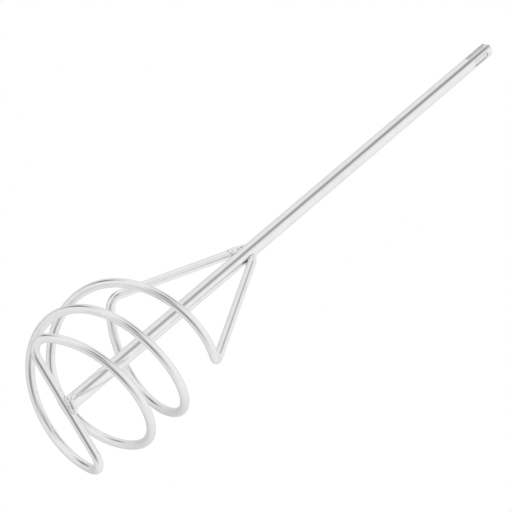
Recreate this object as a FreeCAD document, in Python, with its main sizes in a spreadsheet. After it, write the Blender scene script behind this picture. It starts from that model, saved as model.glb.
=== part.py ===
import FreeCAD, Part
import math
import os
import Sketcher
from FreeCAD import Placement, Rotation, Vector

# Mortar mixing paddle: a round shaft whose upper end is a slotted quick-change shank, and a
# two-strand spiral basket bent from one round wire and welded to the shaft.
# Origin: on the shaft axis, where the shank enters the drill. +Z runs up the shaft to its tip.
# Strand and leg heights in the sheet are counted up from the flat lower end of the shaft.

doc = FreeCAD.newDocument("mixing_paddle")

SIZES = [
    ("shaft_diameter", 10.0),
    ("shaft_length", 474.0),
    ("foot_edge_break", 0.6),
    ("nose_drop", 1.6),
    ("nose_inset", 1.1),
    ("shank_insertion", 40.0),
    ("shank_turn", 21.0),
    ("drive_slot_width", 4.0),
    ("drive_slot_depth", 1.7),
    ("drive_slot_length", 25.0),
    ("detent_radius", 2.6),
    ("detent_depth", 1.7),
    ("detent_length", 17.5),
    ("detent_end_gap", 6.0),
    ("wire_diameter", 6.0),
    ("basket_radius", 49.5),
    ("corner_bend", 12.0),
    ("shoulder_bend", 9.0),
    ("strand_a_sweep", 480.0),
    ("strand_a_quarter", 15.0),
    ("strand_a_half", 33.0),
    ("strand_a_three_quarter", 44.0),
    ("strand_a_full", 68.5),
    ("strand_a_top", 106.0),
    ("strand_b_sweep", 490.0),
    ("strand_b_quarter", 10.5),
    ("strand_b_half", 29.5),
    ("strand_b_three_quarter", 35.0),
    ("strand_b_full", 63.0),
    ("strand_b_top", 88.5),
    ("leg_a_height", 187.5),
    ("leg_b_height", 185.5),
    ("leg_end_radius", 7.2),
    ("foot_bead_radius", 2.7),
    ("foot_bead_pitch", 2.5),
    ("foot_bead_offset", 4.1),
    ("foot_bead_drop", 1.3),
    ("top_bead_radius", 3.6),
    ("top_bead_pitch", 3.0),
    ("top_bead_lean", 1.0),
]

sheet = doc.addObject("Spreadsheet::Sheet", "Sizes")
for row, (alias, value) in enumerate(SIZES, start=1):
    sheet.set("A%d" % row, alias)
    sheet.set("B%d" % row, str(value))
    sheet.setAlias("B%d" % row, alias)
doc.recompute()


def size(alias):
    """A driving dimension, read from the sheet."""
    return float(getattr(sheet, alias))


shaft_radius = size("shaft_diameter") / 2
wire_radius = size("wire_diameter") / 2
foot_z = size("shank_insertion") - size("shaft_length")


def outline(sketch, points):
    """A closed outline in a sketch. Each corner is (x, y, x formula, y formula)."""
    count = len(points)
    for index, corner in enumerate(points):
        after = points[(index + 1) % count]
        line = Part.LineSegment(Vector(corner[0], corner[1], 0), Vector(after[0], after[1], 0))
        sketch.addGeometry(line, False)
    for index in range(count):
        joined = Sketcher.Constraint("Coincident", index, 2, (index + 1) % count, 1)
        sketch.addConstraint(joined)
    for index, (across, up, across_formula, up_formula) in enumerate(points):
        for kind, value, formula in (
            ("DistanceX", across, across_formula),
            ("DistanceY", up, up_formula),
        ):
            if formula is None:
                level = -2 if kind == "DistanceX" else -1
                sketch.addConstraint(Sketcher.Constraint("PointOnObject", index, 1, level))
                continue
            number = sketch.addConstraint(Sketcher.Constraint(kind, -1, 1, index, 1, value))
            name = "corner_%d_%s" % (index, "across" if kind == "DistanceX" else "up")
            sketch.renameConstraint(number, name)
            sketch.setExpression("Constraints." + name, formula)


def attach(sketch, body, role):
    """Puts a sketch on one of its body's own origin planes."""
    plane = [item for item in body.Origin.OriginFeatures if item.Role == role][0]
    sketch.AttachmentSupport = [(plane, "")]
    sketch.MapMode = "FlatFace"


# ------------------------------------------------------------------------------------ shaft
# The blank is turned from round bar: a small edge break at the foot, a bevelled nose.
blank = doc.addObject("PartDesign::Body", "shaft_blank")
half = shaft_radius
nose = size("nose_inset")
length = size("shaft_length")

turned = blank.newObject("Sketcher::SketchObject", "turned_profile")
attach(turned, blank, "XZ_Plane")
turned.setExpression(
    "AttachmentOffset.Base.y", "Sizes.shank_insertion - Sizes.shaft_length"
)
outline(
    turned,
    [
        (0, 0, None, None),
        (half - 0.6, 0, "Sizes.shaft_diameter / 2 - Sizes.foot_edge_break", None),
        (half, 0.6, "Sizes.shaft_diameter / 2", "Sizes.foot_edge_break"),
        (
            half,
            length - 1.6,
            "Sizes.shaft_diameter / 2",
            "Sizes.shaft_length - Sizes.nose_drop",
        ),
        (
            half - nose,
            length,
            "Sizes.shaft_diameter / 2 - Sizes.nose_inset",
            "Sizes.shaft_length",
        ),
        (0, length, None, "Sizes.shaft_length"),
    ],
)
doc.recompute()

turning = blank.newObject("PartDesign::Revolution", "turning")
turning.Profile = turned
turning.ReferenceAxis = (turned, ["V_Axis"])
turning.Angle = 360
doc.recompute()

# Two drive slots, milled from the nose, open at the end.
slot = blank.newObject("Sketcher::SketchObject", "drive_slot_profile")
attach(slot, blank, "XY_Plane")
slot.setExpression("AttachmentOffset.Base.z", "Sizes.shank_insertion")
inner = "Sizes.shaft_diameter / 2 - Sizes.drive_slot_depth"
outer = "Sizes.shaft_diameter / 2 + 1"
side = "Sizes.drive_slot_width / 2"
outline(
    slot,
    [
        (3.3, -2.0, inner, "-" + side),
        (6.0, -2.0, outer, "-" + side),
        (6.0, 2.0, outer, side),
        (3.3, 2.0, inner, side),
    ],
)
doc.recompute()

milled = blank.newObject("PartDesign::Pocket", "drive_slot")
milled.Profile = slot
milled.setExpression("Length", "Sizes.drive_slot_length")
doc.recompute()

both_slots = blank.newObject("PartDesign::PolarPattern", "drive_slots")
both_slots.Originals = [milled]
spin_axis = [item for item in blank.Origin.OriginFeatures if item.Role == "Z_Axis"][0]
both_slots.Axis = (spin_axis, [""])
both_slots.Angle = 360
both_slots.Occurrences = 2
blank.Tip = both_slots
doc.recompute()

# Two closed detent grooves, a quarter turn from the slots, cut with a ball-nosed tool.
DETENT_AXIS = "(Sizes.shaft_diameter / 2 - Sizes.detent_depth + Sizes.detent_radius)"
DETENT_TOP = "Sizes.shank_insertion - Sizes.detent_end_gap - Sizes.detent_radius"
DETENT_RUN = "Sizes.detent_length - 2 * Sizes.detent_radius"
cutters = []
for name, sign in (("near", ""), ("far", "-")):
    run = doc.addObject("Part::Cylinder", "detent_run_" + name)
    run.setExpression("Radius", "Sizes.detent_radius")
    run.setExpression("Height", DETENT_RUN)
    run.setExpression("Placement.Base.y", sign + DETENT_AXIS)
    run.setExpression("Placement.Base.z", "%s - (%s)" % (DETENT_TOP, DETENT_RUN))
    cutters.append(run)
    for end, drop in (("upper", "0"), ("lower", DETENT_RUN)):
        ball = doc.addObject("Part::Sphere", "detent_%s_%s" % (end, name))
        ball.setExpression("Radius", "Sizes.detent_radius")
        ball.setExpression("Placement.Base.y", sign + DETENT_AXIS)
        ball.setExpression("Placement.Base.z", "%s - (%s)" % (DETENT_TOP, drop))
        cutters.append(ball)

detents = doc.addObject("Part::MultiFuse", "detent_cutters")
detents.Shapes = cutters

shaft = doc.addObject("Part::Cut", "shaft")
shaft.Base = blank
shaft.Tool = detents
shaft.Placement = Placement(Vector(0, 0, 0), Rotation(Vector(0, 0, 1), 0.001))
shaft.setExpression("Placement.Rotation.Angle", "Sizes.shank_turn")
shaft.Label = "shaft"
doc.recompute()

# ------------------------------------------------------------------------------ basket wire
# Each strand winds up and right-handed from the crossbar, so that it lifts the mix as it turns.
# Its height is set at each quarter turn, and runs smoothly between those stations.


HELIX_STEP = 45


def stations(letter):
    """The angles and heights a strand passes through, and its slope at each."""
    angles = [0, 90, 180, 270, 360, size("strand_%s_sweep" % letter)]
    heights = [-wire_radius]
    for name in ("quarter", "half", "three_quarter", "full", "top"):
        heights.append(size("strand_%s_%s" % (letter, name)))
    rates = []
    for index in range(len(angles) - 1):
        rise = heights[index + 1] - heights[index]
        rates.append(rise / (angles[index + 1] - angles[index]))
    slopes = [rates[0]]
    for index in range(1, len(angles) - 1):
        before = angles[index] - angles[index - 1]
        after = angles[index + 1] - angles[index]
        mean = (rates[index - 1] * after + rates[index] * before) / (before + after)
        slopes.append(mean)
    slopes.append(rates[-1])
    return angles, heights, slopes


def blend(share, start, start_slope, end, end_slope, gap):
    """A cubic between two values with given slopes, and its own slope there."""
    square = share * share
    cube = square * share
    value = (2 * cube - 3 * square + 1) * start
    value += (cube - 2 * square + share) * gap * start_slope
    value += (3 * square - 2 * cube) * end
    value += (cube - square) * gap * end_slope
    slope = (6 * square - 6 * share) * (start - end) / gap
    slope += (3 * square - 4 * share + 1) * start_slope
    slope += (3 * square - 2 * share) * end_slope
    return value, slope


def strand_height(table, angle):
    """Height of a strand above the shaft's foot at an angle, and its rise per degree."""
    angles, heights, slopes = table
    step = 0
    while step < len(angles) - 2 and angle > angles[step + 1]:
        step += 1
    gap = angles[step + 1] - angles[step]
    share = (angle - angles[step]) / gap
    return blend(
        share, heights[step], slopes[step], heights[step + 1], slopes[step + 1], gap
    )


def on_basket(table, angle):
    """Point on a strand's centreline and its direction there."""
    radius = size("basket_radius")
    turn = math.radians(angle)
    height, rise = strand_height(table, angle)
    point = Vector(radius * math.cos(turn), radius * math.sin(turn), height)
    along = Vector(-radius * math.sin(turn), radius * math.cos(turn), math.degrees(rise))
    return point, along.normalize()


def bend_arc(start, corner, end):
    """A round arc from start to end, tangent to the two equal sides that meet at corner."""
    middle = (start + end) * 0.5
    rise = corner - middle
    half_turn = math.atan2(rise.Length, (end - start).Length / 2)
    radius = (corner - start).Length / math.tan(half_turn)
    crown = middle + rise.normalize() * (radius * (1 - math.cos(half_turn)))
    return Part.Arc(start, crown, end).toShape()


def two_arcs(start, start_along, end, end_along):
    """Two round arcs, tangent to each other and to the given directions at both ends."""
    across = end - start
    both = start_along + end_along
    spread = 2 * (1 - start_along.dot(end_along))
    lean = across.dot(both)
    reach = (math.sqrt(lean**2 + spread * across.dot(across)) - lean) / spread
    first_corner = start + start_along * reach
    second_corner = end - end_along * reach
    joint = (first_corner + second_corner) * 0.5
    return [bend_arc(start, first_corner, joint), bend_arc(joint, second_corner, end)]


def strand_edges(letter):
    """Corner bend, helix, shoulder bend and leg of one strand, from the crossbar outwards."""
    table = stations(letter)
    sweep = size("strand_%s_sweep" % letter)
    radius = size("basket_radius")
    bend = size("corner_bend")
    bar_half = math.sqrt((radius - bend) ** 2 - bend**2)
    first = math.degrees(math.atan2(bend, bar_half))

    # Corner bend: a quarter turn and a little more, climbing from level to the strand's slope.
    bar_end = Vector(bar_half, 0, -wire_radius)
    corner_exit, corner_along = on_basket(table, first)
    corner = two_arcs(bar_end, Vector(1, 0, 0), corner_exit, corner_along)

    # The leg's line, and where the shoulder bend has to start and end on either side of it.
    top, top_along = on_basket(table, sweep)
    end_turn = math.radians(sweep)
    leg_radius = size("leg_end_radius")
    leg_end = Vector(
        leg_radius * math.cos(end_turn),
        leg_radius * math.sin(end_turn),
        size("leg_%s_height" % letter),
    )
    leg_along = (leg_end - top).normalize()
    shoulder = size("shoulder_bend")
    set_back = shoulder * math.tan(top_along.getAngle(leg_along) / 2)
    rise_radius = math.degrees(strand_height(table, sweep)[1])
    last = sweep - math.degrees(set_back / math.hypot(radius, rise_radius))

    # Helix between the two bends, as pairs of tangent arcs.
    helix = []
    pairs = math.ceil((last - first) / HELIX_STEP)
    before, before_along = corner_exit, corner_along
    for pair in range(1, pairs + 1):
        after, after_along = on_basket(table, first + (last - first) * pair / pairs)
        helix += two_arcs(before, before_along, after, after_along)
        before, before_along = after, after_along

    # Shoulder bend, then the straight leg in to the shaft.
    leg_start = top + leg_along * set_back
    shoulder_bend = two_arcs(before, before_along, leg_start, leg_along)
    leg = Part.LineSegment(leg_start, leg_end).toShape()
    return corner + helix + shoulder_bend + [leg], bar_half, leg_end, leg_along


edges_a, bar_half, leg_a_end, leg_a_along = strand_edges("a")
edges_b, _, leg_b_end, leg_b_along = strand_edges("b")
turned_edges = []
for edge in edges_b:
    moved = edge.copy()
    moved.rotate(Vector(0, 0, 0), Vector(0, 0, 1), 180)
    turned_edges.append(moved)
bar = Part.LineSegment(Vector(-bar_half, 0, -wire_radius), Vector(bar_half, 0, -wire_radius))

path = doc.addObject("Part::Feature", "wire_path")
in_order = list(reversed(edges_a)) + [bar.toShape()] + turned_edges
path.Shape = Part.Wire(in_order)
path.setExpression("Placement.Base.z", "Sizes.shank_insertion - Sizes.shaft_length")

section = doc.addObject("Part::Circle", "wire_section")
section.setExpression("Radius", "Sizes.wire_diameter / 2")
facing = Rotation(Vector(0, 0, 1), leg_a_along)
section.Placement = Placement(leg_a_end + Vector(0, 0, foot_z), facing)

drawn = doc.addObject("Part::Sweep", "drawn_wire")
drawn.Sections = [section]
drawn.Spine = (path, ["Edge%d" % (index + 1) for index in range(len(path.Shape.Edges))])
drawn.Solid = True
drawn.Frenet = True

wire = doc.addObject("Part::Cut", "basket_wire")
wire.Base = drawn
wire.Tool = shaft
wire.Label = "basket_wire"
doc.recompute()

radii = sorted(edge.Curve.Radius for edge in path.Shape.Edges if hasattr(edge.Curve, "Radius"))
section_area = math.pi * wire_radius**2
print("bend radii", round(radii[0], 2), "to", round(radii[-1], 2))
print("wire volume", drawn.Shape.Volume, "section times length", section_area * path.Shape.Length)


# -------------------------------------------------------------------------------- weld beads
def bead(name, lumps):
    """A lumpy weld bead: fused balls, less the shaft and the wire they are laid against."""
    laid = doc.addObject("Part::MultiFuse", name + "_laid")
    laid.Shapes = lumps
    joined = doc.addObject("Part::MultiFuse", name + "_parents")
    joined.Shapes = [shaft, wire]
    result = doc.addObject("Part::Cut", name)
    result.Base = laid
    result.Tool = joined
    result.Label = name
    return result


def lump(name, radius_formula, formulas):
    ball = doc.addObject("Part::Sphere", name)
    ball.setExpression("Radius", radius_formula)
    for letter, formula in zip("xyz", formulas):
        ball.setExpression("Placement.Base." + letter, formula)
    return ball


beads = []
FOOT = "Sizes.shank_insertion - Sizes.shaft_length"
for name, sign in (("weld_bottom_front", "-"), ("weld_bottom_back", "")):
    lumps = []
    for place in (-1.5, -0.5, 0.5, 1.5):
        formulas = (
            "%s * Sizes.foot_bead_pitch" % place,
            sign + "Sizes.foot_bead_offset",
            FOOT + " - Sizes.foot_bead_drop",
        )
        label = "%s_lump_%d" % (name, len(lumps))
        lumps.append(lump(label, "Sizes.foot_bead_radius", formulas))
    beads.append(bead(name, lumps))

for name, letter, base_angle in (("weld_top_a", "a", "0"), ("weld_top_b", "b", "180")):
    turn = "(Sizes.strand_%s_sweep + %s)" % (letter, base_angle)
    lumps = []
    for place in (0, 1, 2):
        reach = "(Sizes.leg_end_radius - %s * Sizes.top_bead_lean)" % place
        formulas = (
            "%s * cos(%s)" % (reach, turn),
            "%s * sin(%s)" % (reach, turn),
            "%s + Sizes.leg_%s_height + %s * Sizes.top_bead_pitch" % (FOOT, letter, place),
        )
        radius_formula = "Sizes.top_bead_radius - %s * 0.35" % place
        lumps.append(lump("%s_lump_%d" % (name, place), radius_formula, formulas))
    beads.append(bead(name, lumps))

doc.recompute()

# ------------------------------------------------------------------------- checks and export
for thing in doc.Objects:
    if "Invalid" in thing.State or "Error" in thing.State:
        raise RuntimeError("feature failed: %s %s" % (thing.Name, thing.State))

os.makedirs("parts", exist_ok=True)
for piece in [shaft, wire] + beads:
    shape = piece.Shape
    if shape.isNull() or not shape.isValid():
        raise RuntimeError("bad shape: " + piece.Label)
    if len(shape.Solids) != 1:
        raise RuntimeError("%s has %d solids" % (piece.Label, len(shape.Solids)))
    box = shape.BoundBox
    print(piece.Label, "volume", round(shape.Volume, 1), "faces", len(shape.Faces))
    print("  z", round(box.ZMin, 2), round(box.ZMax, 2), "x", round(box.XMin, 2), round(box.XMax, 2))
    shape.exportStep("parts/%s.step" % piece.Label)
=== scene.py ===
import math

import bmesh
import bpy
from bpy.props import FloatProperty, FloatVectorProperty, IntProperty, PointerProperty
from mathutils import Matrix, Vector, noise


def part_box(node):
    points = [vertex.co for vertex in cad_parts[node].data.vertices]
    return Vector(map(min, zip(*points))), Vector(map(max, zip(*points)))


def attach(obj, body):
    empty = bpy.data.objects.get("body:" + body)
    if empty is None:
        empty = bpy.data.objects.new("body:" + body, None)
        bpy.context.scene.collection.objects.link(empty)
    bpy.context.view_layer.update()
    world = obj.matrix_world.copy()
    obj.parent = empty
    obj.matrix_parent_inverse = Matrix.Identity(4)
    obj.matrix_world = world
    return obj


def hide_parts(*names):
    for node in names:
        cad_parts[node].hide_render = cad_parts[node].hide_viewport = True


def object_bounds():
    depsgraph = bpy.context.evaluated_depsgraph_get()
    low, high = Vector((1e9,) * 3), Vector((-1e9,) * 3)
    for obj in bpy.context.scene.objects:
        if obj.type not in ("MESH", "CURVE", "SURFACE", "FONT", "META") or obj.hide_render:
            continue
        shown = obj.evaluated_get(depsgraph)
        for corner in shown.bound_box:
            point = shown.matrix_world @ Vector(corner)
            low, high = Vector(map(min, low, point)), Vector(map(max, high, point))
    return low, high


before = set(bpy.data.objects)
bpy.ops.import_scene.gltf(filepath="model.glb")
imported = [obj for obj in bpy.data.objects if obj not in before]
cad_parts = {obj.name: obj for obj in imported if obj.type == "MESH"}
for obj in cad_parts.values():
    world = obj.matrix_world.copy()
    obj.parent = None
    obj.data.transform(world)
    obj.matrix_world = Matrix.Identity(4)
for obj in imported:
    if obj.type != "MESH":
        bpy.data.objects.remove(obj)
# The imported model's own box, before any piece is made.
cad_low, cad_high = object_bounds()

bl_info = {
    "name": "Mortar mixing paddle",
    "version": (1, 0, 0),
    "blender": (4, 5, 0),
    "location": "View3D > Sidebar > Paddle",
    "description": "Builds a plated wire mixing paddle around its packed frame",
    "category": "Add Mesh",
}

MM = 0.001
ROOT = "root"
NEAR = 1e-6  # metres within which two places count as one
MERGE = 1e-7  # metres within which a lathe's seam is joined
SHARP_EDGE = math.radians(35)  # faces that turn more than this meet in an edge

shaft_low, shaft_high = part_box("shaft")


# ---------------------------------------------------------------------- sizes and finishes
def length(name, description, default):
    """A length in metres, shown in the panel."""
    return FloatProperty(
        name=name,
        description=description,
        default=default,
        min=0.0,
        precision=5,
        subtype="DISTANCE",
        unit="LENGTH",
    )


class PaddleSizes(bpy.types.PropertyGroup):
    """Real sizes of the paddle's pieces."""

    shaft_diameter: length("Shaft diameter", "Diameter of the round bar", 10 * MM)
    foot_edge: length("Foot edge", "Edge break at the lower end of the bar", 0.6 * MM)
    nose_drop: length("Nose drop", "Length of the bevel at the tip", 1.6 * MM)
    nose_inset: length("Nose inset", "Depth of the bevel at the tip", 1.1 * MM)
    slot_width: length("Drive slot width", "Width of each open slot", 4.0 * MM)
    slot_depth: length("Drive slot depth", "Depth of each open slot", 1.7 * MM)
    slot_length: length("Drive slot length", "Length of each open slot", 25.0 * MM)
    detent_radius: length("Detent radius", "Radius of the ball-nosed groove", 2.6 * MM)
    detent_depth: length("Detent depth", "Depth of the closed groove", 1.7 * MM)
    detent_length: length("Detent length", "Length of the closed groove", 17.5 * MM)
    detent_gap: length("Detent gap", "Plain metal between groove and tip", 6.0 * MM)
    wire_diameter: length("Wire diameter", "Diameter of the basket's wire", 6 * MM)
    basket_radius: length("Basket radius", "Radius of the strands' centreline", 49.5 * MM)
    corner_bend: length("Corner bend", "Bend radius where the crossbar ends", 12 * MM)
    shoulder_bend: length("Shoulder bend", "Bend radius where a leg begins", 9 * MM)
    leg_end_radius: length("Leg end", "Distance of a leg's end from the axis", 7.2 * MM)
    shank_turn: FloatProperty(
        name="Shank turn",
        description="Turn of the drive slots from the crossbar",
        default=math.radians(21),
        subtype="ANGLE",
        unit="ROTATION",
    )
    around: IntProperty(
        name="Faces round the wire",
        description="Faces round the wire's section",
        default=40,
        min=12,
    )


class PaddleFinish(bpy.types.PropertyGroup):
    """Colours and roughness of the plating and the weld metal."""

    plating: FloatVectorProperty(
        name="Plating",
        description="Colour of the bright plating",
        subtype="COLOR",
        size=3,
        min=0.0,
        max=1.0,
        default=(0.95, 0.951, 0.953),
    )
    dull: FloatVectorProperty(
        name="Dull plating",
        description="Colour where the plating has clouded",
        subtype="COLOR",
        size=3,
        min=0.0,
        max=1.0,
        default=(0.78, 0.782, 0.786),
    )
    # Painted shade: the dark grey that the plating's colour is blended towards in crevices, where
    # shade falls.
    painted_crevice_shade: FloatVectorProperty(
        name="Painted crevice shade",
        description="Colour of the plating deep in a crevice",
        subtype="COLOR",
        size=3,
        min=0.0,
        max=1.0,
        default=(0.16, 0.16, 0.165),
    )
    roughness: FloatProperty(
        name="Roughness",
        description="Mean roughness of the bright plating",
        default=0.1,
        min=0.0,
        max=1.0,
        subtype="FACTOR",
    )
    weld_roughness: FloatProperty(
        name="Weld roughness",
        description="Mean roughness of the plated weld metal",
        default=0.14,
        min=0.0,
        max=1.0,
        subtype="FACTOR",
    )


class PaddleStage(bpy.types.PropertyGroup):
    """Floor, light and camera."""

    floor_gap: length("Floor gap", "Gap between the basket and the floor", 0.1 * MM)
    floor_size: length("Floor size", "Length of the floor's side", 60.0)
    floor_colour: FloatVectorProperty(
        name="Floor colour",
        description="Colour of the floor; the backdrop low down matches it as lit",
        subtype="COLOR",
        size=3,
        min=0.0,
        max=1.0,
        default=(0.84, 0.84, 0.845),
    )
    lens: FloatProperty(
        name="Lens", description="Camera lens in millimetres", default=299.08, min=1.0
    )
    camera_place: FloatVectorProperty(
        name="Camera place",
        description="Where the camera stands, from the shaft's foot",
        subtype="TRANSLATION",
        size=3,
        default=(-0.5950, -2.1003, -1.5725),
    )
    camera_aim: FloatVectorProperty(
        name="Camera aim",
        description="What the camera looks at, from the shaft's foot",
        subtype="TRANSLATION",
        size=3,
        default=(0.0034, -0.0073, 0.1886),
    )
    camera_roll: FloatProperty(
        name="Camera roll",
        description="Turn of the camera about its own line of sight",
        default=math.radians(49.53),
        subtype="ANGLE",
        unit="ROTATION",
    )
    light: FloatProperty(
        name="Light", description="Brightness of the studio", default=1.15, min=0.0
    )


# ------------------------------------------------------------------------------- node tools
class Graph:
    """A node tree that is filled by short calls."""

    def __init__(self, tree):
        self.tree = tree
        tree.nodes.clear()

    def add(self, kind, **settings):
        node = self.tree.nodes.new(kind)
        for name, value in settings.items():
            setattr(node, name, value)
        return node

    def join(self, source, target):
        self.tree.links.new(source, target)

    def feed(self, node, **inputs):
        """Sets or links a node's inputs by name. An underscore stands for a space."""
        for name, value in inputs.items():
            socket = node.inputs[name.replace("_", " ")]
            if isinstance(value, bpy.types.NodeSocket):
                self.join(value, socket)
            else:
                socket.default_value = value
        return node

    def math(self, operation, first, second=None, clamp=False):
        node = self.add("ShaderNodeMath", operation=operation, use_clamp=clamp)
        for index, value in enumerate((first, second)):
            if value is None:
                continue
            if isinstance(value, bpy.types.NodeSocket):
                self.join(value, node.inputs[index])
            else:
                node.inputs[index].default_value = value
        return node.outputs[0]

    def stretched(self, vector, scale):
        node = self.add("ShaderNodeMapping", vector_type="POINT")
        self.join(vector, node.inputs["Vector"])
        node.inputs["Scale"].default_value = scale
        return node.outputs["Vector"]

    def clouds(self, vector, scale, detail=3.0, roughness=0.55, distortion=0.0):
        node = self.add("ShaderNodeTexNoise", noise_dimensions="3D")
        self.feed(
            node,
            Vector=vector,
            Scale=scale,
            Detail=detail,
            Roughness=roughness,
            Distortion=distortion,
        )
        return node.outputs["Fac"]

    def remap(self, value, low, high, to_low, to_high):
        node = self.add("ShaderNodeMapRange", clamp=True, interpolation_type="SMOOTHSTEP")
        for name, item in (
            ("Value", value),
            ("From Min", low),
            ("From Max", high),
            ("To Min", to_low),
            ("To Max", to_high),
        ):
            if isinstance(item, bpy.types.NodeSocket):
                self.join(item, node.inputs[name])
            else:
                node.inputs[name].default_value = item
        return node.outputs["Result"]

    def blend(self, share, first, second):
        node = self.add("ShaderNodeMix", data_type="RGBA", blend_type="MIX")
        sockets = [node.inputs[0], node.inputs[6], node.inputs[7]]
        for socket, value in zip(sockets, (share, first, second)):
            if isinstance(value, bpy.types.NodeSocket):
                self.join(value, socket)
            else:
                socket.default_value = value
        return node.outputs[2]

    def crevice(self, reach, depth):
        """Painted shade: rises to depth where other metal closes in within reach, where shade
        falls.
        """
        node = self.add("ShaderNodeAmbientOcclusion", samples=8)
        node.inputs["Distance"].default_value = reach
        return self.remap(node.outputs["AO"], 0.3, 0.8, depth, 0.0)

    def bump(self, height, distance, strength, below=None):
        node = self.add("ShaderNodeBump")
        self.feed(node, Height=height, Distance=distance, Strength=strength)
        if below is not None:
            self.join(below, node.inputs["Normal"])
        return node.outputs["Normal"]


def rgba(colour):
    return (colour[0], colour[1], colour[2], 1.0)


def new_material(name):
    old = bpy.data.materials.get(name)
    if old is not None:
        bpy.data.materials.remove(old)
    material = bpy.data.materials.new(name)
    material.use_nodes = True
    return material, Graph(material.node_tree)


def finish_material(graph, colour, roughness, normal):
    shader = graph.add("ShaderNodeBsdfPrincipled")
    graph.feed(shader, Base_Color=colour, Metallic=1.0, Roughness=roughness, Normal=normal)
    output = graph.add("ShaderNodeOutputMaterial")
    graph.join(shader.outputs["BSDF"], output.inputs["Surface"])


def drawn_plating(name, finish, straightened):
    """Bright plating over drawn steel: lengthwise die lines, soft clouding, fine handling marks.

    The pattern runs along the stock. A straight bar reads its own Object coordinates; a bent
    wire reads where each point lay before the wire was bent.
    """
    material, graph = new_material(name)
    if straightened:
        place = graph.add("ShaderNodeAttribute", attribute_name="straightened").outputs["Vector"]
    else:
        place = graph.add("ShaderNodeTexCoord").outputs["Object"]

    drawn = graph.stretched(place, (1, 1, 0.012))
    lines = graph.clouds(drawn, scale=1500, detail=3.0, roughness=0.55)
    fine = graph.stretched(place, (1, 1, 0.02))
    hairs = graph.clouds(fine, scale=5200, detail=2.0, roughness=0.6)
    cloud = graph.clouds(place, scale=110, detail=5.0, roughness=0.6, distortion=0.4)
    slow = graph.stretched(place, (1, 1, 0.3))
    ripple = graph.clouds(slow, scale=210, detail=2.0, roughness=0.5)
    fleck = graph.clouds(place, scale=1250, detail=2.0, roughness=0.5)
    rubbed = graph.stretched(place, (0.35, 0.35, 1))
    scuff = graph.clouds(rubbed, scale=900, detail=3.0, roughness=0.55, distortion=1.2)

    flecks = graph.remap(fleck, 0.67, 0.74, 0.0, 1.0)
    scuffs = graph.remap(scuff, 0.68, 0.74, 0.0, 1.0)
    clouding = graph.remap(cloud, 0.46, 0.76, 0.0, 0.34)
    streaks = graph.remap(lines, 0.5, 0.8, 0.0, 0.5)
    dulled = graph.math("ADD", clouding, graph.math("MULTIPLY", streaks, 0.6))
    dulled = graph.math("ADD", dulled, graph.math("MULTIPLY", flecks, 0.5), clamp=True)
    colour = graph.blend(dulled, rgba(finish.plating), rgba(finish.dull))
    # Painted shade: the colour darkens towards a dark grey where other metal lies within 3 mm.
    colour = graph.blend(graph.crevice(reach=3 * MM, depth=0.6), colour, rgba(finish.painted_crevice_shade))

    rough = graph.remap(cloud, 0.35, 0.75, finish.roughness - 0.03, finish.roughness + 0.08)
    rough = graph.math("ADD", rough, graph.math("MULTIPLY", streaks, 0.08))
    rough = graph.math("ADD", rough, graph.math("MULTIPLY", flecks, 0.15))
    rough = graph.math("ADD", rough, graph.math("MULTIPLY", scuffs, 0.12), clamp=True)

    normal = graph.bump(ripple, distance=0.04 * MM, strength=0.5)
    normal = graph.bump(lines, distance=0.006 * MM, strength=0.5, below=normal)
    normal = graph.bump(hairs, distance=0.0015 * MM, strength=0.5, below=normal)
    normal = graph.bump(scuffs, distance=0.004 * MM, strength=0.5, below=normal)
    finish_material(graph, colour, rough, normal)
    return material


def milled_plating(name, finish):
    """Plating over milled steel, for the slots and grooves: short marks across the cut."""
    material, graph = new_material(name)
    place = graph.add("ShaderNodeTexCoord").outputs["Object"]
    across = graph.stretched(place, (0.15, 0.15, 1))
    marks = graph.clouds(across, scale=2600, detail=3.0, roughness=0.6)
    cloud = graph.clouds(place, scale=320, detail=4.0, roughness=0.6)
    dulled = graph.remap(cloud, 0.35, 0.75, 0.25, 0.95)
    colour = graph.blend(dulled, rgba(finish.plating), rgba(finish.dull))
    rough = graph.remap(cloud, 0.3, 0.7, finish.roughness + 0.08, finish.roughness + 0.22)
    normal = graph.bump(marks, distance=0.01 * MM, strength=0.6)
    normal = graph.bump(cloud, distance=0.06 * MM, strength=0.4, below=normal)
    finish_material(graph, colour, rough, normal)
    return material


def faced_plating(name, finish):
    """Plating over a turned end face: rings about the axis."""
    material, graph = new_material(name)
    place = graph.add("ShaderNodeTexCoord").outputs["Object"]
    rings = graph.add(
        "ShaderNodeTexWave", wave_type="RINGS", rings_direction="Z", wave_profile="SIN"
    )
    graph.feed(rings, Vector=place, Scale=620.0, Distortion=0.6, Detail=2.0)
    cloud = graph.clouds(place, scale=260, detail=4.0, roughness=0.6)
    colour = graph.blend(
        graph.remap(cloud, 0.35, 0.75, 0.1, 0.8), rgba(finish.plating), rgba(finish.dull)
    )
    rough = graph.remap(cloud, 0.3, 0.7, finish.roughness + 0.04, finish.roughness + 0.16)
    normal = graph.bump(rings.outputs["Fac"], distance=0.01 * MM, strength=0.6)
    finish_material(graph, colour, rough, normal)
    return material


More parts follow.
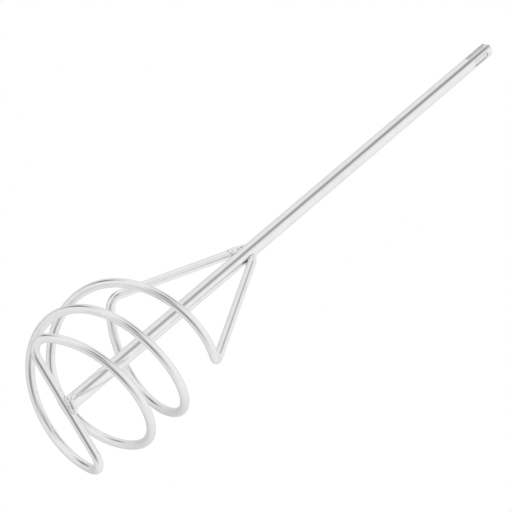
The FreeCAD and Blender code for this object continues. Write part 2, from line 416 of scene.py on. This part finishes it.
def weld_plating(name, finish):
    """Plating over weld metal: soft ripples and a few pits under a glassy skin."""
    material, graph = new_material(name)
    place = graph.add("ShaderNodeTexCoord").outputs["Object"]
    lumps = graph.clouds(place, scale=380, detail=2.0, roughness=0.45)
    grit = graph.clouds(place, scale=1900, detail=3.0, roughness=0.6)
    pits = graph.add("ShaderNodeTexVoronoi", feature="F1", distance="EUCLIDEAN")
    graph.feed(pits, Vector=place, Scale=620.0, Randomness=1.0)
    pitted = graph.remap(pits.outputs["Distance"], 0.06, 0.16, 0.7, 0.0)
    dark = graph.remap(lumps, 0.28, 0.5, 0.35, 0.0)
    dark = graph.math("ADD", dark, graph.math("MULTIPLY", pitted, 0.5), clamp=True)
    colour = graph.blend(dark, rgba(finish.plating), rgba(finish.dull))
    # Painted shade: the weld's colour darkens towards a dark grey where other metal lies within
    # 1.2 mm.
    colour = graph.blend(graph.crevice(reach=1.2 * MM, depth=0.4), colour, rgba(finish.painted_crevice_shade))
    rough = graph.remap(
        grit, 0.3, 0.7, finish.weld_roughness - 0.06, finish.weld_roughness + 0.1
    )
    normal = graph.bump(lumps, distance=0.03 * MM, strength=0.5)
    normal = graph.bump(grit, distance=0.004 * MM, strength=0.5, below=normal)
    normal = graph.bump(pitted, distance=0.004 * MM, strength=0.35, below=normal)
    finish_material(graph, colour, rough, normal)
    return material


# ------------------------------------------------------------------------------- mesh tools
def place_object(bm, name, materials, node=None, slot=None):
    """Makes a bmesh an object of the scene; given a slot, it rides on the paddle's one body."""
    bmesh.ops.recalc_face_normals(bm, faces=bm.faces)
    mesh = bpy.data.meshes.new(name)
    bm.to_mesh(mesh)
    bm.free()
    for material in materials:
        mesh.materials.append(material)
    mesh.shade_smooth()
    mesh.set_sharp_from_angle(angle=SHARP_EDGE)
    obj = bpy.data.objects.new(name, mesh)
    bpy.context.scene.collection.objects.link(obj)
    if slot is not None:
        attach(obj, ROOT)
    if node is not None:
        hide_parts(node)
    return obj


def lathe(points, steps):
    """A closed solid, spun about Z from (radius, height) points that start and end on the axis."""
    bm = bmesh.new()
    verts = [bm.verts.new((radius, 0.0, height)) for radius, height in points]
    edges = [bm.edges.new(pair) for pair in zip(verts, verts[1:])]
    bmesh.ops.spin(
        bm,
        geom=verts + edges,
        axis=(0, 0, 1),
        cent=(0, 0, 0),
        steps=steps,
        angle=math.tau,
        use_merge=True,
    )
    bmesh.ops.remove_doubles(bm, verts=bm.verts, dist=MERGE)
    return bm


def settled(obj):
    """Applies an object's modifiers."""
    depsgraph = bpy.context.evaluated_depsgraph_get()
    mesh = bpy.data.meshes.new_from_object(obj.evaluated_get(depsgraph))
    old = obj.data
    obj.modifiers.clear()
    obj.data = mesh
    name = old.name
    bpy.data.meshes.remove(old)
    mesh.name = name


# -------------------------------------------------------------------------- the wire's path
# Angles in degrees round the basket and heights in millimetres above the shaft's foot, at the
# crossbar, at each quarter turn and at the shoulder.
STRANDS = {
    "a": {
        "angles": (0, 90, 180, 270, 360, 480),
        "heights": (-3.0, 15.0, 33.0, 44.0, 68.5, 106.0),
        "leg_height": 187.5,
        "start": 0,
    },
    "b": {
        "angles": (0, 90, 180, 270, 360, 490),
        "heights": (-3.0, 10.5, 29.5, 35.0, 63.0, 88.5),
        "leg_height": 185.5,
        "start": 180,
    },
}
BEND_STEP = 1.0 * MM  # between rings of the wire in a bend
WIDE_BEND = 20 * MM  # past this radius the rings lie further apart, as the radius grows
LEAST_STEPS = 3  # rings in the shortest bend
STRAIGHT_STEP = 5.0 * MM  # between rings where the wire is straight
PAIR_TURN = 45  # degrees of a strand that one pair of arcs covers at most


def strand_slopes(strand):
    """Climb per degree at each of a strand's heights, so that it rises without a kink."""
    angles, heights = strand["angles"], strand["heights"]
    rates = []
    for index in range(len(angles) - 1):
        rise = heights[index + 1] - heights[index]
        rates.append(rise / (angles[index + 1] - angles[index]))
    slopes = [rates[0]]
    for index in range(1, len(angles) - 1):
        before = angles[index] - angles[index - 1]
        after = angles[index + 1] - angles[index]
        slopes.append(
            (rates[index - 1] * after + rates[index] * before) / (before + after)
        )
    slopes.append(rates[-1])
    return slopes


def strand_point(strand, radius, angle):
    """A point on a strand's centreline above the foot, and the strand's direction there."""
    angles, heights = strand["angles"], strand["heights"]
    slopes = strand_slopes(strand)
    step = 0
    while step < len(angles) - 2 and angle > angles[step + 1]:
        step += 1
    gap = angles[step + 1] - angles[step]
    share = (angle - angles[step]) / gap
    square, cube = share**2, share**3
    height = (2 * cube - 3 * square + 1) * heights[step]
    height += (cube - 2 * square + share) * gap * slopes[step]
    height += (3 * square - 2 * cube) * heights[step + 1]
    height += (cube - square) * gap * slopes[step + 1]
    rise = (6 * square - 6 * share) * (heights[step] - heights[step + 1]) / gap
    rise += (3 * square - 4 * share + 1) * slopes[step]
    rise += (3 * square - 2 * share) * slopes[step + 1]
    turn = math.radians(angle)
    point = Vector((radius * math.cos(turn), radius * math.sin(turn), height * MM))
    along = Vector(
        (-radius * math.sin(turn), radius * math.cos(turn), math.degrees(rise) * MM)
    )
    return point, along.normalized()


def arc_points(start, corner, end):
    """Points along the round arc that touches start-corner and corner-end, without its start."""
    middle = (start + end) / 2
    rise = corner - middle
    half = math.atan2(rise.length, (end - start).length / 2)
    radius = (corner - start).length / math.tan(half)
    centre = middle - rise.normalized() * radius * math.cos(half)
    axis = (start - centre).cross(end - centre).normalized()
    steps = max(
        LEAST_STEPS, math.ceil(2 * half * radius / BEND_STEP / max(1.0, radius / WIDE_BEND))
    )
    points = []
    for step in range(1, steps + 1):
        turned = Matrix.Rotation(2 * half * step / steps, 3, axis) @ (start - centre)
        points.append(centre + turned)
    return points


def two_arcs(start, start_along, end, end_along):
    """Points along two arcs, tangent to each other and to both end directions."""
    across = end - start
    both = start_along + end_along
    spread = 2 * (1 - start_along.dot(end_along))
    lean = across.dot(both)
    reach = (math.sqrt(lean**2 + spread * across.dot(across)) - lean) / spread
    first = start + start_along * reach
    second = end - end_along * reach
    joint = (first + second) / 2
    return arc_points(start, first, joint) + arc_points(joint, second, end)


def straight_points(start, end):
    """Even points along a straight run, without its start."""
    steps = max(1, math.ceil((end - start).length / STRAIGHT_STEP))
    return [start.lerp(end, step / steps) for step in range(1, steps + 1)]


def strand_path(sizes, letter):
    """Centreline of one strand from the crossbar's end to the leg's end, above the foot."""
    strand = STRANDS[letter]
    radius, bend = sizes.basket_radius, sizes.corner_bend
    sweep = strand["angles"][-1]
    bar_half = math.sqrt((radius - bend) ** 2 - bend**2)
    first = math.degrees(math.atan2(bend, bar_half))
    bar_end = Vector((bar_half, 0, -sizes.wire_diameter / 2))
    before, before_along = strand_point(strand, radius, first)
    points = [bar_end] + two_arcs(bar_end, Vector((1, 0, 0)), before, before_along)

    top, top_along = strand_point(strand, radius, sweep)
    outward = Vector((math.cos(math.radians(sweep)), math.sin(math.radians(sweep)), 0))
    leg_end = outward * sizes.leg_end_radius + Vector((0, 0, strand["leg_height"] * MM))
    leg_along = (leg_end - top).normalized()
    set_back = sizes.shoulder_bend * math.tan(top_along.angle(leg_along) / 2)
    climb = math.degrees(strand_slopes(strand)[-1]) * MM
    last = sweep - math.degrees(set_back / math.hypot(radius, climb))

    pairs = math.ceil((last - first) / PAIR_TURN)
    for pair in range(1, pairs + 1):
        after, after_along = strand_point(
            strand, radius, first + (last - first) * pair / pairs
        )
        points += two_arcs(before, before_along, after, after_along)
        before, before_along = after, after_along

    leg_start = top + leg_along * set_back
    points += two_arcs(before, before_along, leg_start, leg_along)
    points += straight_points(leg_start, leg_end)
    turn = Matrix.Rotation(math.radians(strand["start"]), 3, "Z")
    return [turn @ point for point in points]


def wire_path(sizes):
    """Centreline of the whole wire, from one leg's end to the other's, in the row frame."""
    one = strand_path(sizes, "a")
    other = strand_path(sizes, "b")
    bar = straight_points(one[0], other[0])
    points = one[::-1] + bar + other[1:]
    foot = Vector((0, 0, shaft_low[2]))
    return [point + foot for point in points]


def section_frames(points):
    """A frame at each point of a path with Z along it, turning no more than the path does."""
    frames = []
    count = len(points)
    side = None
    for index, point in enumerate(points):
        ahead = points[min(index + 1, count - 1)]
        behind = points[max(index - 1, 0)]
        along = (ahead - behind).normalized()
        if side is None:
            side = along.orthogonal().normalized()
        side = (side - along * side.dot(along)).normalized()
        across = along.cross(side)
        turn = Matrix((side, across, along)).transposed().to_4x4()
        frames.append(Matrix.Translation(point) @ turn)
    return frames


# -------------------------------------------------------------------------------- operators
DRAWN, MILLED, FACED = range(3)  # the order of the shaft's finishes
SHAFT_AROUND = 96  # faces round the shaft
SHAFT_RINGS = 64  # rings along it
EDGE_STEPS = 3  # straight steps round the edge break at its foot
LEVEL = 0.99  # a face whose normal is nearer to the axis than this is an end face
SPARE = 2 * MM  # how far a slot's cutter reaches past the metal
RUN_OUT = 1.5 * MM  # radius that the milling cutter leaves at a slot's inner end
RUN_OUT_STEPS = 8
BALL_STEPS = 12  # steps in a quarter of a ball nose
BALL_AROUND = 40  # faces round a ball nose
SOFT_EDGE = 0.16 * MM  # bevel that softens the shaft's edges
SOFT_STEPS = 2
SHAFT_SHARP_EDGE = math.radians(40)


class PADDLE_OT_shaft(bpy.types.Operator):
    """Round shaft with its bevelled nose, two drive slots and two detent grooves"""

    bl_idname = "paddle.shaft"
    bl_label = "Shaft and shank"
    bl_options = {"REGISTER", "UNDO"}

    def execute(self, context):
        sizes, finish = context.scene.paddle_sizes, context.scene.paddle_finish
        radius = sizes.shaft_diameter / 2
        foot, tip = shaft_low[2], shaft_high[2]
        edge = sizes.foot_edge
        outline = [(0.0, foot), (radius - edge, foot)]
        for step in range(1, EDGE_STEPS):
            turn = math.radians(90 * step / EDGE_STEPS)
            outline.append(
                (radius - edge + edge * math.sin(turn), foot + edge - edge * math.cos(turn))
            )
        outline.append((radius, foot + edge))
        run = tip - sizes.nose_drop - foot - edge
        for ring in range(1, SHAFT_RINGS + 1):
            outline.append((radius, foot + edge + run * ring / SHAFT_RINGS))
        outline += [(radius - sizes.nose_inset, tip), (0.0, tip)]
        bm = lathe(outline, SHAFT_AROUND)
        for face in bm.faces:
            if abs(face.normal.z) > LEVEL:
                face.material_index = FACED
        skins = [
            drawn_plating("drawn_plating", finish, False),
            milled_plating("milled_plating", finish),
            faced_plating("faced_plating", finish),
        ]
        shaft = place_object(bm, "shaft_bar", skins, "shaft", "shaft_steel")
        cutters = self.slot_cutters(sizes, skins, radius, tip)
        cutters += self.detent_cutters(sizes, skins, radius, tip)
        for cutter in cutters:
            cut = shaft.modifiers.new("cut", "BOOLEAN")
            cut.operation = "DIFFERENCE"
            cut.solver = "EXACT"
            cut.object = cutter
        settled(shaft)
        for cutter in cutters:
            mesh = cutter.data
            bpy.data.objects.remove(cutter)
            bpy.data.meshes.remove(mesh)
        soften = shaft.modifiers.new("soften", "BEVEL")
        soften.width = SOFT_EDGE
        soften.segments = SOFT_STEPS
        soften.limit_method = "ANGLE"
        soften.angle_limit = SHARP_EDGE
        soften.use_clamp_overlap = True
        settled(shaft)
        shaft.data.shade_smooth()
        shaft.data.set_sharp_from_angle(angle=SHAFT_SHARP_EDGE)
        even = shaft.modifiers.new("even", "WEIGHTED_NORMAL")
        even.keep_sharp = True
        settled(shaft)
        return {"FINISHED"}

    def slot_cutters(self, sizes, skins, radius, tip):
        """Two cutters for the open slots, their inner ends rounded by the milling cutter."""
        cutters = []
        depth = sizes.slot_depth
        for half_turn in (0, 180):
            bm = bmesh.new()
            bmesh.ops.create_cube(bm, size=1.0)
            high = sizes.slot_length + SPARE
            bmesh.ops.scale(bm, vec=(depth + SPARE, sizes.slot_width, high), verts=bm.verts)
            bmesh.ops.translate(
                bm,
                vec=(
                    radius - depth + (depth + SPARE) / 2,
                    0,
                    tip - sizes.slot_length + high / 2,
                ),
                verts=bm.verts,
            )
            low = tip - sizes.slot_length
            run_out = [
                item
                for item in bm.edges
                if all(
                    abs(v.co.z - low) < NEAR and abs(v.co.x - radius + depth) < NEAR
                    for v in item.verts
                )
            ]
            bmesh.ops.bevel(
                bm,
                geom=run_out,
                offset=RUN_OUT,
                offset_type="OFFSET",
                affect="EDGES",
                segments=RUN_OUT_STEPS,
                profile=0.5,
                material=-1,
            )
            for face in bm.faces:
                face.material_index = MILLED
            turn = Matrix.Rotation(math.radians(half_turn) + sizes.shank_turn, 4, "Z")
            bmesh.ops.transform(bm, matrix=turn, verts=bm.verts)
            cutters.append(place_object(bm, "slot_cutter", skins))
        return cutters

    def detent_cutters(self, sizes, skins, radius, tip):
        """Two ball-ended cutters for the closed grooves."""
        cutters = []
        ball = sizes.detent_radius
        upper = tip - sizes.detent_gap - ball
        lower = upper - (sizes.detent_length - 2 * ball)
        outline = []
        for step in range(BALL_STEPS + 1):
            turn = math.radians(90 * step / BALL_STEPS)
            outline.append((ball * math.sin(turn), lower - ball * math.cos(turn)))
        for step in range(BALL_STEPS + 1):
            turn = math.radians(90 * step / BALL_STEPS)
            outline.append((ball * math.cos(turn), upper + ball * math.sin(turn)))
        outline[0] = (0.0, outline[0][1])
        outline[-1] = (0.0, outline[-1][1])
        for quarter in (90, 270):
            bm = lathe(outline, BALL_AROUND)
            for face in bm.faces:
                face.material_index = MILLED
            out = radius - sizes.detent_depth + ball
            turn = Matrix.Rotation(math.radians(quarter) + sizes.shank_turn, 4, "Z")
            turn = turn @ Matrix.Translation((out, 0, 0))
            bmesh.ops.transform(bm, matrix=turn, verts=bm.verts)
            cutters.append(place_object(bm, "detent_cutter", skins))
        return cutters


WIRE_END_EDGE = 0.5 * MM  # edge break at the wire's two ends
WIRE_END_STEPS = 3


class PADDLE_OT_basket(bpy.types.Operator):
    """One bent wire: leg, shoulder, strand, corner, crossbar, corner, strand, shoulder, leg"""

    bl_idname = "paddle.basket"
    bl_label = "Basket wire"
    bl_options = {"REGISTER", "UNDO"}

    def execute(self, context):
        sizes, finish = context.scene.paddle_sizes, context.scene.paddle_finish
        frames = section_frames(wire_path(sizes))
        bm = bmesh.new()
        straightened = bm.verts.layers.float_vector.new("straightened")
        ring = bmesh.ops.create_circle(
            bm,
            cap_ends=False,
            radius=sizes.wire_diameter / 2,
            segments=sizes.around,
            matrix=frames[0],
        )["verts"]
        edges = first_edges = bm.edges[:]
        run = 0.0
        self.mark(ring, straightened, frames[0], run)
        for before, after in zip(frames, frames[1:]):
            made = bmesh.ops.extrude_edge_only(bm, edges=edges)["geom"]
            ring = [item for item in made if isinstance(item, bmesh.types.BMVert)]
            fresh = set(ring)
            edges = [
                item
                for item in made
                if isinstance(item, bmesh.types.BMEdge) and fresh.issuperset(item.verts)
            ]
            bmesh.ops.transform(bm, matrix=after @ before.inverted(), verts=ring)
            run += (after.translation - before.translation).length
            self.mark(ring, straightened, after, run)
        for rim in (first_edges, edges):
            cap = bmesh.ops.edgeloop_fill(bm, edges=rim)["faces"]
            bmesh.ops.bevel(
                bm,
                geom=[edge for face in cap for edge in face.edges],
                offset=WIRE_END_EDGE,
                offset_type="OFFSET",
                affect="EDGES",
                segments=WIRE_END_STEPS,
                profile=0.5,
                material=-1,
            )
        place_object(
            bm,
            "basket_strand_wire",
            [drawn_plating("drawn_wire_plating", finish, True)],
            "basket_wire",
            "wire_steel",
        )
        return {"FINISHED"}

    def mark(self, ring, layer, section, run):
        """Notes where a ring of the wire lay before the wire was bent."""
        back = section.inverted()
        for vert in ring:
            local = back @ vert.co
            vert[layer] = (local.x, local.y, run)


def weld_skin(finish):
    """The one finish that all the beads share."""
    return bpy.data.materials.get("weld_plating") or weld_plating("weld_plating", finish)


FILL = 3  # balls laid for each step of a bead
BALL_DETAIL = 3
BEAD_GRAIN = 0.22 * MM  # size of the cells in which a bead's balls are fused
BEAD_SOFTENING, BEAD_PASSES = 0.6, 12  # how strongly and how often a bead is smoothed
BEAD_SWELL = 0.1  # millimetres that a bead gains all over, to make up for the smoothing
BEAD_RIPPLES = ((0.5, 0.22), (1.3, 0.06))  # ripples for each millimetre, and their height in mm


def weld(name, node, lumps, finish, seed):
    """A weld bead: balls of metal run together, then softened and rippled in its own way."""
    bm = bmesh.new()
    run = [Vector(lump) for lump in lumps]
    chain = [run[0]]
    for before, after in zip(run, run[1:]):
        chain += [before.lerp(after, step / FILL) for step in range(1, FILL + 1)]
    for x, y, z, radius in chain:
        bmesh.ops.create_icosphere(
            bm,
            subdivisions=BALL_DETAIL,
            radius=radius * MM,
            matrix=Matrix.Translation(Vector((x, y, z)) * MM),
        )
    bead = place_object(bm, name, [weld_skin(finish)], node, "weld_metal")
    fuse = bead.modifiers.new("fuse", "REMESH")
    fuse.mode = "VOXEL"
    fuse.voxel_size = BEAD_GRAIN
    even = bead.modifiers.new("even", "SMOOTH")
    even.factor, even.iterations = BEAD_SOFTENING, BEAD_PASSES
    settled(bead)
    bm = bmesh.new()
    bm.from_mesh(bead.data)
    shift = Vector((seed * 3.1, seed * 1.7, seed * 2.3))
    for vert in bm.verts:
        spot = vert.co / MM
        swell = BEAD_SWELL
        for rate, height in BEAD_RIPPLES:
            swell += noise.noise(spot * rate + shift) * height
        vert.co += vert.normal * swell * MM
    bm.to_mesh(bead.data)
    bm.free()
    bead.data.shade_smooth()


# Each ball of weld metal: x, y and height above the foot, and its radius, in millimetres.
FOOT_FRONT = [
    (-4.0, -4.6, 2.3, 2.0),
    (-4.4, -3.3, -1.8, 2.1),
    (-2.4, -4.0, -1.4, 2.7),
    (0.2, -4.2, -1.5, 2.8),
    (2.6, -4.0, -1.7, 2.7),
    (4.6, -3.4, -2.2, 2.1),
]
FOOT_BACK = [
    (-4.9, 3.4, -1.9, 2.1),
    (-2.7, 4.1, -1.0, 2.5),
    (0.0, 4.4, -0.6, 2.6),
    (2.7, 4.1, -1.0, 2.5),
    (4.8, 3.4, -1.8, 2.1),
]


class PADDLE_OT_foot_welds(bpy.types.Operator):
    """Weld beads on both sides of the crossbar, under the shaft"""

    bl_idname = "paddle.foot_welds"
    bl_label = "Foot welds"
    bl_options = {"REGISTER", "UNDO"}

    def execute(self, context):
        finish = context.scene.paddle_finish
        foot = shaft_low[2] / MM
        for name, node, lumps, seed in (
            ("foot_bead_front", "weld_bottom_front", FOOT_FRONT, 3),
            ("foot_bead_back", "weld_bottom_back", FOOT_BACK, 5),
        ):
            placed = [(x, y, z + foot, radius) for x, y, z, radius in lumps]
            weld(name, node, placed, finish, seed)
        return {"FINISHED"}


# Each ball: distance from the axis, height above the leg's end, and radius, in millimetres.
LEG_BEADS = {
    "a": [
        (9.4, -4.6, 3.4),
        (8.3, -2.4, 3.5),
        (7.3, -0.2, 3.4),
        (6.2, 2.6, 3.0),
        (5.5, 5.2, 2.5),
        (5.0, 7.6, 1.8),
    ],
    "b": [
        (7.5, -2.2, 2.6),
        (6.8, -0.3, 2.7),
        (6.0, 1.8, 2.4),
        (5.3, 3.8, 1.9),
    ],
}


class PADDLE_OT_leg_welds(bpy.types.Operator):
    """Weld beads that hold the two legs to the sides of the shaft"""

    bl_idname = "paddle.leg_welds"
    bl_label = "Leg welds"
    bl_options = {"REGISTER", "UNDO"}

    def execute(self, context):
        finish = context.scene.paddle_finish
        foot = shaft_low[2] / MM
        for letter, seed in (("a", 11), ("b", 17)):
            strand = STRANDS[letter]
            turn = math.radians(strand["angles"][-1] + strand["start"])
            end = foot + strand["leg_height"]
            placed = [
                (reach * math.cos(turn), reach * math.sin(turn), end + rise, radius)
                for reach, rise, radius in LEG_BEADS[letter]
            ]
            weld("leg_bead_" + letter, "weld_top_" + letter, placed, finish, seed)
        return {"FINISHED"}


# The studio's soft light is an even white room with a few soft dark cards hung in it, which draw
# the dark lines that make bright metal read as round. Each card is an azimuth and elevation in
# degrees, how much light it takes away, and how sharply it ends.
DARK_CARDS = {
    "under_the_bench": (300, -60, 0.8, 6.0),
    "beside_the_camera": (240, -20, 0.9, 20.0),
    "left_wall": (160, 0, 0.9, 25.0),
    "high_behind_the_camera": (230, 45, 0.8, 20.0),
    "far_wall": (90, 10, 0.4, 2.0),
}
DARKEST = 0.02  # light that is left in the middle of the darkest card
FLOOR_LIT = 0.8  # share of its own colour that the floor shows under this light
PAPER_LOW, PAPER_HIGH = 0.1, 0.45  # slopes of view between which the backdrop turns white


class PADDLE_OT_stage(bpy.types.Operator):
    """Pale floor, soft studio light and the camera"""

    bl_idname = "paddle.stage"
    bl_label = "Floor, light and camera"
    bl_options = {"REGISTER", "UNDO"}

    def execute(self, context):
        stage = context.scene.paddle_stage
        self.floor(stage)
        self.studio(context, stage)
        self.camera(context, stage)
        return {"FINISHED"}

    def floor(self, stage):
        """A pale floor that is clear from below, because the camera looks up through it."""
        material, graph = new_material("pale_floor")
        shader = graph.add("ShaderNodeBsdfPrincipled")
        graph.feed(shader, Base_Color=rgba(stage.floor_colour), Roughness=0.9)
        clear = graph.add("ShaderNodeBsdfTransparent")
        sides = graph.add("ShaderNodeMixShader")
        graph.join(graph.add("ShaderNodeNewGeometry").outputs["Backfacing"], sides.inputs[0])
        graph.join(shader.outputs["BSDF"], sides.inputs[1])
        graph.join(clear.outputs["BSDF"], sides.inputs[2])
        output = graph.add("ShaderNodeOutputMaterial")
        graph.join(sides.outputs[0], output.inputs["Surface"])
        bm = bmesh.new()
        bmesh.ops.create_grid(bm, x_segments=1, y_segments=1, size=stage.floor_size / 2)
        height = cad_low[2] - stage.floor_gap
        bmesh.ops.translate(bm, vec=(0, 0, height), verts=bm.verts)
        floor = place_object(bm, "floor", [material])
        floor.visible_glossy = False
        floor.visible_diffuse = False
        floor.visible_shadow = False

    def studio(self, context, stage):
        """A room that lights the metal, and a backdrop that only the camera sees."""
        world = bpy.data.worlds.new("studio")
        context.scene.world = world
        world.use_nodes = True
        graph = Graph(world.node_tree)
        toward = graph.add("ShaderNodeTexCoord").outputs["Generated"]
        total = None
        for azimuth, elevation, depth, sharpness in DARK_CARDS.values():
            az, el = math.radians(azimuth), math.radians(elevation)
            middle = (math.cos(el) * math.cos(az), math.cos(el) * math.sin(az), math.sin(el))
            dot = graph.add("ShaderNodeVectorMath", operation="DOT_PRODUCT")
            graph.join(toward, dot.inputs[0])
            dot.inputs[1].default_value = middle
            falling = graph.math("SUBTRACT", dot.outputs["Value"], 1.0)
            falling = graph.math("MULTIPLY", falling, sharpness)
            shade = graph.math("MULTIPLY", graph.math("EXPONENT", falling), -depth)
            total = shade if total is None else graph.math("ADD", total, shade)
        glow = graph.math("MAXIMUM", graph.math("ADD", total, stage.light), DARKEST)
        room = graph.add("ShaderNodeBackground")
        graph.join(glow, room.inputs["Strength"])
        height = graph.add("ShaderNodeSeparateXYZ")
        graph.join(toward, height.inputs[0])
        raised = graph.remap(height.outputs["Z"], PAPER_LOW, PAPER_HIGH, 0.0, 1.0)
        paper = graph.add("ShaderNodeBackground")
        lit = [FLOOR_LIT * part for part in stage.floor_colour]
        sheet = graph.blend(raised, rgba(lit), (1, 1, 1, 1))
        graph.feed(paper, Color=sheet, Strength=1.0)
        seen = graph.add("ShaderNodeLightPath").outputs["Is Camera Ray"]
        mix = graph.add("ShaderNodeMixShader")
        graph.join(seen, mix.inputs[0])
        graph.join(room.outputs[0], mix.inputs[1])
        graph.join(paper.outputs[0], mix.inputs[2])
        output = graph.add("ShaderNodeOutputWorld")
        graph.join(mix.outputs[0], output.inputs["Surface"])
        context.scene.view_settings.view_transform = "Standard"

    def camera(self, context, stage):
        data = bpy.data.cameras.new("camera")
        data.lens = stage.lens
        data.sensor_width = 36.0
        data.clip_start, data.clip_end = 0.05, 100.0
        camera = bpy.data.objects.new("camera", data)
        context.scene.collection.objects.link(camera)
        sight = Vector(stage.camera_aim) - Vector(stage.camera_place)
        turn = sight.to_track_quat("-Z", "Y").to_matrix().to_4x4()
        turn = turn @ Matrix.Rotation(stage.camera_roll, 4, "Z")
        place = Vector(stage.camera_place) + Vector((0, 0, shaft_low[2]))
        camera.matrix_world = Matrix.Translation(place) @ turn
        context.scene.camera = camera


class PADDLE_PT_panel(bpy.types.Panel):
    """Builds the paddle piece by piece"""

    bl_idname = "PADDLE_PT_panel"
    bl_label = "Mixing paddle"
    bl_space_type = "VIEW_3D"
    bl_region_type = "UI"
    bl_category = "Paddle"

    def draw(self, context):
        column = self.layout.column(align=True)
        for operator in OPERATORS:
            column.operator(operator.bl_idname)
        scene = context.scene
        for group in (scene.paddle_sizes, scene.paddle_finish, scene.paddle_stage):
            box = self.layout.box()
            for name in group.bl_rna.properties.keys():
                if name not in {"rna_type", "name"}:
                    box.prop(group, name)


GROUPS = (PaddleSizes, PaddleFinish, PaddleStage)
OPERATORS = (
    PADDLE_OT_shaft,
    PADDLE_OT_basket,
    PADDLE_OT_foot_welds,
    PADDLE_OT_leg_welds,
    PADDLE_OT_stage,
)
CLASSES = GROUPS + OPERATORS + (PADDLE_PT_panel,)


def register():
    for item in CLASSES:
        bpy.utils.register_class(item)
    bpy.types.Scene.paddle_sizes = PointerProperty(type=PaddleSizes)
    bpy.types.Scene.paddle_finish = PointerProperty(type=PaddleFinish)
    bpy.types.Scene.paddle_stage = PointerProperty(type=PaddleStage)


def unregister():
    del bpy.types.Scene.paddle_stage
    del bpy.types.Scene.paddle_finish
    del bpy.types.Scene.paddle_sizes
    for item in reversed(CLASSES):
        bpy.utils.unregister_class(item)


def main():
    register()
    bpy.ops.paddle.shaft()
    bpy.ops.paddle.basket()
    bpy.ops.paddle.foot_welds()
    bpy.ops.paddle.leg_welds()
    bpy.ops.paddle.stage()


if __name__ == "__main__":
    main()
